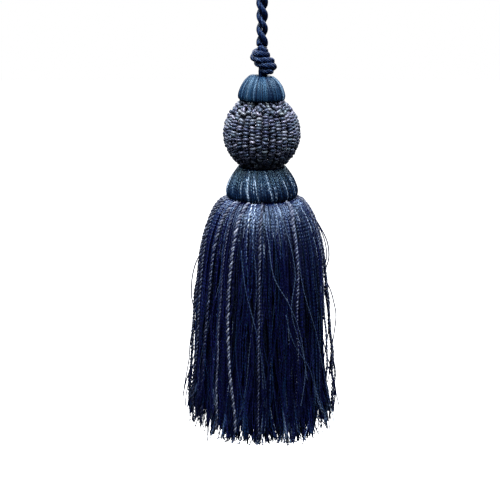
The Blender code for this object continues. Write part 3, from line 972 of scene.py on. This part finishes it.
def fringe(side, finish, name, threads, thick, shallow, deep, tufts, strands, short, seed, tone, *nodes):
    """A layer of the skirt's threads between two depths, gathered in tufts and finer strands."""
    rng = np.random.default_rng(seed)
    angle = TURN * (np.arange(threads) + rng.uniform(-0.5, 0.5, threads)) / threads
    depth = shallow + (deep - shallow) * rng.random(threads)
    big, tuft = bunched(rng, angle, tufts, TUFT_PULL)
    small, strand = bunched(rng, angle + 0.3 * big, strands, STRAND_PULL)

    def by_tuft(size):
        return rng.normal(0.0, size, tufts)[tuft]

    def by_strand(size):
        return rng.normal(0.0, size, strands)[strand]

    def by_thread(size):
        return rng.normal(0.0, size, threads)

    def some_strands(share, least):
        return ((rng.random(strands) < share) * rng.uniform(least, 1.0, strands))[strand]

    inside = by_tuft(0.030) + gathered(angle, HOLLOWS) + by_strand(0.018)
    sunk = some_strands(SUNK_STRANDS, 0.5)
    wisp = some_strands(WISPS, 0.3)
    point = 1.0 - np.abs(small) / np.abs(small).max()
    cut = side.length - short + by_tuft(1.0) + by_strand(2.3) + by_thread(0.5) + POINTED * point - 0.5
    cut = cut + HEM_DIP * (np.maximum(0.0, -np.sin(angle)) - 0.35) + gathered(angle, HEM_CHANGES)
    single = rng.random(threads) < SINGLES
    cut = np.minimum(cut - 1.8 + single * rng.uniform(2.0, 9.0, threads), side.length + LONGEST)
    cut = (cut - 6.0 * wisp * rng.uniform(0.6, 1.0, threads))[:, None]
    along = steps_along(FRINGE_STEPS, rng.uniform(0.86, 1.14, (threads, 1))) * cut
    grow = share_of(along / GROOVED)
    grow = (0.22 + 0.78 * grow * grow * (3.0 - 2.0 * grow)) * share_of(along / 3.0)
    end = share_of((along - cut + LOOSE) / LOOSE) ** 2
    groove = 0.055 * sunk[:, None] * share_of(along / 5.0)
    radius, height = side.at(along, depth[:, None] + inside[:, None] * grow + groove)
    sway = waves(rng, tufts, along, ((70.0, 1.3), (36.0, 0.5)), tuft)
    sway = (sway + waves(rng, strands, along, ((60.0, 0.9), (30.0, 0.3)), strand)) * grow
    wander = waves(rng, threads, along, ((62.0, 0.75), (30.0, 0.26), (15.0, 0.06)))
    sway = sway + wander * (0.05 + 0.95 * grow)
    swell = waves(rng, threads, along, ((40.0, 0.35), (21.0, 0.14))) * (0.1 + 0.9 * grow)
    flare = (by_strand(1.5) + (0.35 + 1.5 * single) * by_thread(1.0))[:, None] * end
    loose = 0.4 * rng.random(threads) + 2.2 * single * rng.random(threads)
    splay = (np.abs(by_strand(0.6)) + loose)[:, None] * end
    spread = share_of((along - cut + WISP_LOOSE) / WISP_LOOSE) ** 2
    splay = splay + 4.5 * wisp[:, None] * spread
    gather = big[:, None] * grow + small[:, None] * grow * (1.0 + 0.6 * end)
    turned = angle[:, None] + gather + (sway + flare) / np.maximum(radius, 6.0)
    paths = pressed(round_axis(radius + np.minimum(swell, 0.3) - 0.25 + splay, turned, height))
    hue = np.array([unevenness(a, 2.6, 5.0) for a in angle])
    tones = tone + 0.2 * hue + by_tuft(0.14) + by_strand(0.13) + by_thread(0.16)
    # Lighter in the painted highlight's bunches below the shoulder too.
    # Strands that lie in a groove are painted darker: painted shade.
    tones = np.clip(tones + gathered(angle, PAINTED_HIGHLIGHT_BUNCHES, 3) - 0.35 * sunk, 0.0, 0.88)
    tones = np.where(rng.random(threads) < 0.012, rng.uniform(0.88, 0.94, threads), tones)
    thick = thick * rng.uniform(0.8, 1.15, (threads, 1)) * np.ones((1, FRINGE_STEPS))
    thick[:, -3:] *= np.where(single, 1.2, 1.0)[:, None]
    thick[:, -1] *= np.where(single, 0.75, 0.45)
    # A painted highlight on the shoulder, near the top of each thread. Strands in a groove don't get it.
    shoulder = gathered(angle, PAINTED_HIGHLIGHT_BUNCHES) * (1.0 - sunk) * rng.uniform(0.60, 1.15, strands)[strand]
    painted_highlight_tones = tones + shoulder + np.abs(by_thread(0.5 * tone)) + by_strand(0.10)
    painted_highlight_tones = np.minimum(painted_highlight_tones, BRIGHTEST)
    shift = rng.uniform(0.0, 40.0, threads)
    middle = 0.5 * (along[:, 1:] + along[:, :-1])
    reach = rng.uniform(5.0, 21.0, threads) + rng.uniform(0.0, 5.0, strands)[strand]
    highlight_fade = share_of((reach[:, None] - middle) / 5.0)
    # Painted light: darker threads are painted lighter over the last few centimetres to the cut end, against
    # the shade at the hem.
    painted_hem_light = 0.36 * share_of(1.0 - (cut - middle) / 34.0)
    painted_hem_light = painted_hem_light * share_of((0.90 - tones) / 0.35)[:, None]
    flecks = rng.uniform(-0.30, 0.24, middle.shape) * share_of(1.5 - middle / 40.0)
    dye = tones[:, None] + (painted_highlight_tones - tones)[:, None] * highlight_fade + painted_hem_light + flecks
    skein = Skein()
    skein.wind(paths, thick, 3, np.minimum(dye, BRIGHTEST), shift)
    skein.hang(name, finish, "fringe_thread", *nodes)


BRUSH_REACH = 27.6  # how far out the brush inside the hem goes
BRUSH_TOP = -106.0
BRUSH_HEM = -117.6
BRUSH_THREADS = 3600
BRUSH_TUFTS = 330
GOLDEN_TURN = 2.399963  # from one thread to the next, so that they fill a round evenly


def brush(finish):
    """The cut ends inside the hem, standing on the heart of the skirt."""
    rng = np.random.default_rng(31)
    count = BRUSH_THREADS
    share = np.sqrt((np.arange(count) + 0.5) / count)
    turn = GOLDEN_TURN * np.arange(count)
    foot = BRUSH_REACH * share[:, None] * np.stack([np.cos(turn), np.sin(turn)], axis=-1)
    spots = rng.uniform(-28.0, 28.0, (BRUSH_TUFTS, 2))
    away = spots[None] - foot[:, None]
    nearest = (away**2).sum(axis=-1).argmin(axis=1)
    low = BRUSH_HEM + rng.normal(0.0, 1.1, BRUSH_TUFTS)[nearest] + rng.normal(0.0, 0.8, count)
    low = low - 2.8 * np.maximum(0.0, -foot[:, 1] / BRUSH_REACH) - share * gathered(turn, HEM_CORNERS)
    level = np.linspace(0.0, 1.0, 5)[:, None]
    height = BRUSH_TOP + (low[:, None, None] - BRUSH_TOP) * level
    lean = 0.45 * away[np.arange(count), nearest] + rng.normal(0.0, 0.5, (count, 2))
    paths = np.concatenate([foot[:, None] * (0.93 + 0.07 * level) + lean[:, None] * level, height], axis=-1)
    # The brush is painted lighter than the fringe's threads: painted light against the shade inside the hem.
    tones = np.clip(0.55 + rng.normal(0.0, 0.16, count), 0.0, 0.86)
    skein = Skein()
    skein.wind(paths, (0.19, 0.19, 0.19, 0.19, 0.6 * 0.19), 3, tones, rng.uniform(0.0, 40.0, count))
    skein.hang("fringe_brush", finish, "fringe_thread")


HEART = (
    # height, radius
    (-28.4, 0), (-28.4, 9), (-28.6, 12), (-30.4, 15), (-34, 17.6), (-39, 19.6), (-46, 21.2),
    (-55, 22.6), (-70, 23.8), (-85, 24.7), (-100, 25.4), (-110, 25.8), (-111, 24), (-110.5, 16),
    (-110.5, 8), (-110.5, 0),
)
HEART_RIGHT = 22.6  # how far it goes to the right, where the skirt hangs flatter
HEART_STEPS = 300


def heart(finish):
    """The mass of thread inside the skirt, grooved where its threads lie together."""

    def grooved(angle, height, radius):
        depth = min(1.0, max(0.0, (-30.0 - height) / 20.0))
        ridge = unevenness(angle, 9.0, height / 90.0)
        fine = unevenness(angle, 30.0, height / 60.0 + 4.0)
        radius = radius * (1.0 + depth * (0.030 * ridge + 0.016 * fine))
        if math.cos(angle) > 0.0:
            radius = min(radius, HEART_RIGHT / max(0.1, math.cos(angle)))
        return height, radius

    shell("fringe_heart", HEART, HEART_STEPS, grooved, finish, "fringe_thread")


ACCENTS = (
    # degrees at the collar, shoulder, middle and hem, tone of one ply at the top and at the hem,
    # between which it changes as painted light and shade, tone of the other ply, radius, length
    # of a turn, and how far it stands off
    (-98, -98, -96, -101, 0.76, 0.62, 0.15, 0.60, 3.2, 0.6),
    (-87, -87, -88, -90, 0.82, 0.74, 0.15, 0.62, 3, 0),
    (-73, -75, -68, -69, 0.78, 0.55, 0.10, 0.62, 3.4, 0.2),
    (-44, -51, -53, -54, 0.92, 0.50, 0.50, 0.66, 3.6, 0.3),
    (-38, -38, -38, -36.5, 0.30, 0.95, 0.10, 0.46, 3.2, 0.7),
    (-22, -28, -29.5, -21, 0.93, 0.93, 0.62, 0.69, 3.5, 0.4),
    (1, -2, -3, -3, 0.86, 0.40, 0, 0.64, 3.4, 0.3),
    (45, 36, 31, 29, 0.99, 0.10, 0.78, 0.80, 3.1, -1.3),
    (85, 77, 67, 62, 0.74, 0.50, 0.10, 0.56, 3.2, 0.2),
    (86, 86, 87, 88, 0.50, 0.35, 0.10, 0.74, 3.2, -0.2),
    (97, 97, 98, 96, 0.50, 0.35, 0.10, 0.60, 3.6, 0.9),
    (122, 124, 126, 122, 0.94, 0.60, 0.15, 0.76, 3.2, 0.3),
    (150, 152, 151, 156, 0.98, 0.90, 0.20, 0.78, 3.1, 0.4),
    (181, 180, 182, 181, 0.86, 0.50, 0, 0.64, 3.4, 0.3),
    (209, 212, 210, 206, 0.98, 0.60, 0.20, 0.80, 3.3, 0.4),
    (237, 235, 236, 238, 0.92, 0.62, 0.15, 0.72, 3.2, 0.3),
)
ACCENT_MARKS = (2.0, 14.0, 55.0, 97.0)  # how far along those four places are
ACCENT_STEP = 0.38
ACCENT_MOTTLES = 15  # how many times the tone of one ply changes by chance


def accent_cords(side, finish):
    """Two-ply cords of grey and navy silk, mixed into the skirt."""
    rng = np.random.default_rng(41)
    skein = Skein()
    for *degrees, lit, painted_hem_tone, other, thick, pitch, proud in ACCENTS:
        cut = side.length - rng.uniform(2.0, 6.0)
        along = np.linspace(2.0, cut, round(cut / ACCENT_STEP))[None]
        down = along / cut
        radius, height = side.at(along, -0.014)
        rows = [(value,) for value in degrees]
        marks = np.interp(along[0], ACCENT_MARKS, range(len(rows)))
        turn = np.radians([smooth_through(rows, mark)[0] - 90.0 for mark in marks])[None]
        turn = turn + waves(rng, 1, along, ((30.0, 0.4), (9.0, 0.12))) * down / radius
        radius = radius + proud * np.minimum(1.0, along / 72.0) ** 3
        radius = radius + np.minimum(waves(rng, 1, along, ((40.0, 0.7), (13.0, 0.15))) * down, 0.5)
        path = round_axis(radius, turn, height)
        swell = thick * (1.0 + waves(rng, 1, along, ((14.0, 0.20), (5.0, 0.22)))[0])
        swell = swell * (1.25 - 0.35 * down[0]) * rng.normal(1.0, 0.06, len(swell))
        pace = pitch * (1.0 + np.clip(waves(rng, 1, along, ((19.0, 0.22), (8.0, 0.18))), -0.4, 0.6))
        plies = laid(path, 2, 0.50 * thick, pace, rng.uniform(0.0, TURN))
        mottled = rng.uniform(-0.11, 0.05, (2, ACCENT_MOTTLES))
        share = np.linspace(0.0, 1.0, path.shape[1] - 1)
        for ply, wound in enumerate(plies):
            # The grey is the cord's own; its change from the top to the hem is painted light and shade.
            tone = (lit if ply else other) + (painted_hem_tone - lit) * share**0.8
            tone = tone + np.interp(share * (ACCENT_MOTTLES - 1), range(ACCENT_MOTTLES), mottled[ply])
            skein.wind(wound, 0.52 * swell[None], 6, tone[None])
    skein.hang("accent_cords", finish, "fringe_thread")


YARNS = 96
YARN_RADIUS = 0.23
YARN_OFFSET = 0.21
YARN_STEPS = 76


def yarns(side, finish):
    """Thicker two-ply yarns among the fine threads. Their twist loosens towards the hem."""
    rng = np.random.default_rng(47)
    angle = TURN * (np.arange(YARNS) + rng.uniform(-0.45, 0.45, YARNS)) / YARNS
    cut = side.length - np.abs(rng.normal(4.0, 3.0, YARNS))
    share = np.linspace(0.0, 1.0, YARN_STEPS)
    along = (0.42 * share + 0.58 * share**2)[None, :] * cut[:, None]
    down = along / side.length
    depth = rng.uniform(-0.016, 0.014, (YARNS, 1)) + 0.5 * gathered(angle, HOLLOWS)[:, None]
    radius, height = side.at(along, depth)
    drift = waves(rng, YARNS, along, ((90.0, 2.6), (42.0, 0.9), (18.0, 0.2))) * (0.1 + 0.9 * down)
    radius = radius + np.minimum(waves(rng, YARNS, along, ((50.0, 0.6),)) * down, 0.3)
    paths = pressed(round_axis(radius, angle[:, None] + drift / radius, height))
    light = rng.uniform(0.20, 0.82, YARNS)
    # A painted highlight on the shoulder, over the top of each yarn.
    highlight_fade = share_of(1.6 - 0.5 * (along[:, 1:] + along[:, :-1]) / 22.0)
    shoulder = 0.32 * gathered(angle, PAINTED_HIGHLIGHT_BUNCHES)[:, None] * highlight_fade
    skein = Skein()
    for ply, wound in enumerate(laid(paths, 2, YARN_OFFSET, 2.5 + 5.0 * down**2)):
        tones = light if ply else light - rng.uniform(0.12, 0.40, YARNS)
        skein.wind(wound, YARN_RADIUS, 4, tones[:, None] + shoulder)
    skein.hang("twisted_yarns", finish, "fringe_thread")


STRAYS = (
    # each hair's tone and radius, then its rows: height, degrees and how far off the skirt
    (0.87, 0.15, (-30, 1, 0.2), (-40, 6, 0.6), (-54, 10, 0.8), (-66, 23, 0.8), (-80, 33, 0.5),
     (-99, 38, 0.3)),
    (0.86, 0.15, (-33, 38, 0.3), (-48, 35, 0.7), (-64, 39, 0.9), (-84, 52, 0.6), (-104, 60, 0.3)),
    (0.86, 0.14, (-29, 22, 0.2), (-40, 27, 0.5), (-54, 30, 0.8), (-70, 25, 0.8), (-92, 36, 0.6),
     (-112, 30, 0.3)),
    (0.84, 0.14, (-44, -20, 0.2), (-60, -14, 0.5), (-78, -4, 0.5), (-96, 2, 0.4), (-112, 4, 0.2)),
    (0.84, 0.14, (-70, 20, 0.3), (-82, 26, 0.6), (-96, 42, 0.6), (-112, 47, 0.4)),
    (0.50, 0.25, (-49, -88, -0.6), (-54.7, -89, 1.5), (-61, -90, 2.4), (-67.8, -91, 2.1),
     (-72, -91, 1.3), (-77, -92, -0.4)),
    (0.50, 0.25, (-80, -88, -0.6), (-88, -89, 1), (-98, -91, 1.2), (-108, -90, 2.4), (-114, -90, 3)),
    (0.50, 0.25, (-33, 84, -0.2), (-39, 88, 1.2), (-45.3, 90, 2.6), (-50.4, 91, 2.7), (-54.7, 92, 1.9),
     (-60, 92, -0.6)),
    (0.50, 0.22, (-34, 92, -0.2), (-42, 91, 1.3), (-47.5, 90, 1.8), (-53, 89, 1.3), (-59, 88, -1)),
    (0.50, 0.25, (-60, 88, -0.8), (-66.5, 89, 1.5), (-72, 90, 2.5), (-78, 90, 3.1), (-85.6, 90, 1.9),
     (-94, 90, 0.1), (-104, 89, -1.4)),
    (0.45, 0.24, (-62, 92, -1.2), (-75, 91, -0.4), (-83.5, 90, 0.4), (-92, 90, 0.8), (-100, 91, -0.2),
     (-108, 92, -2)),
    (0.45, 0.24, (-80, 86, -4), (-92, 88, -2.4), (-99.6, 89, -0.8), (-107, 90, 0.8),
     (-113.5, 90, 1.6)),
    (0.45, 0.22, (-78, 93, 0.2), (-86, 92, -0.6), (-93, 91, -2.2), (-103, 90, -4.6)),
    (0.60, 0.22, (-90, -42, 0.2), (-104, -43, 0.4), (-116, -44, 0.5), (-126, -46, 0.6)),
    (0.45, 0.24, (-92, -92, -1.8), (-100, -92, 0), (-107, -92, 1.8), (-113, -92, 3)),
    (0.45, 0.24, (-96, -86, -1.6), (-104, -86, 0.2), (-111, -85, 1.6), (-117.5, -85, 2)),
    (0.45, 0.24, (-98, 84, -2), (-106, 84, 0.4), (-112, 84, 1.6), (-117, 84, 2.6)),
)
HAIRS = 90
HAIR_RADIUS = 0.12
HAIR_STEPS = 26


def loose_hairs(side, finish):
    """Single fine threads that stray over the skirt or bow away from it."""
    rng = np.random.default_rng(53)
    skein = Skein()
    angle = TURN * rng.random(HAIRS)
    cut = side.length - np.abs(rng.normal(0.0, 6.0, HAIRS))
    along = steps_along(HAIR_STEPS)[None, :] * cut[:, None]
    grow = share_of(along / 70.0)
    radius, height = side.at(along, -0.004)
    drift = waves(rng, HAIRS, along, ((130.0, 5.0), (60.0, 1.4), (30.0, 0.3))) * grow
    turned = angle[:, None] + drift / np.maximum(radius, 8.0)
    off = 0.2 + np.minimum(np.abs(waves(rng, HAIRS, along, ((90.0, 1.0),))) * grow, 1.4)
    paths = pressed(round_axis(radius + off, turned, height))
    skein.wind(paths, HAIR_RADIUS, 3, rng.uniform(0.50, 0.88, HAIRS))
    order = np.argsort(side.height)
    for tone, thick, *rows in STRAYS:
        height, degrees, off = drawn(rows, 1.5).T
        radius = np.interp(height, side.height[order], side.radius[order]) + 0.2 + off
        skein.wind(round_axis(radius, np.radians(degrees - 90.0), height)[None], thick, 4, tone)
    skein.hang("loose_hairs", finish, "fringe_thread")


# ---------------------------------------------------------------- the whole


def dress():
    camera()
    studio()
    floor()
    # The heart inside the skirt is darker than the threads over it: painted shade.
    painted_shade_heart_ground = plain_finish("fringe_ground", (0.0003, 0.0004, 0.002), (0.0015, 0.002, 0.012), 0.5)
    # The ground under the collars' threads is darker than they are: painted shade between the threads.
    painted_shade_ruff_ground = plain_finish("ruff_ground", (0.001, 0.003, 0.010), (0.004, 0.010, 0.030), 0.5)
    under_beads = plain_finish("bead_ground", (0.0005, 0.0015, 0.006), (0.003, 0.005, 0.014), 0.6)
    navy_cord = yarn("navy_cord_silk")
    cord, route = hanging_cord(navy_cord)
    knot = cord_knot(navy_cord)
    points = set_up(route)
    length = float(np.linalg.norm(np.diff(points, axis=0), axis=1).sum())
    ruff(0, "upper_ruff", UPPER_RUFF, upper_shape, yarn("blue_cap_silk"), painted_shade_ruff_ground)
    ruff(1, "lower_ruff", LOWER_RUFF, lower_shape, yarn("blue_ruff_silk"), painted_shade_ruff_ground)
    beads(bead_finish(), under_beads)
    side = Side()
    fringe_silk = yarn("navy_fringe_silk")
    heart(painted_shade_heart_ground)
    for layer in FRINGES:
        fringe(side, fringe_silk, *layer)
    yarns(side, fringe_silk)
    brush(fringe_silk)
    accent_cords(side, yarn("grey_accent_silk"))
    loose_hairs(side, fringe_silk)


dress()
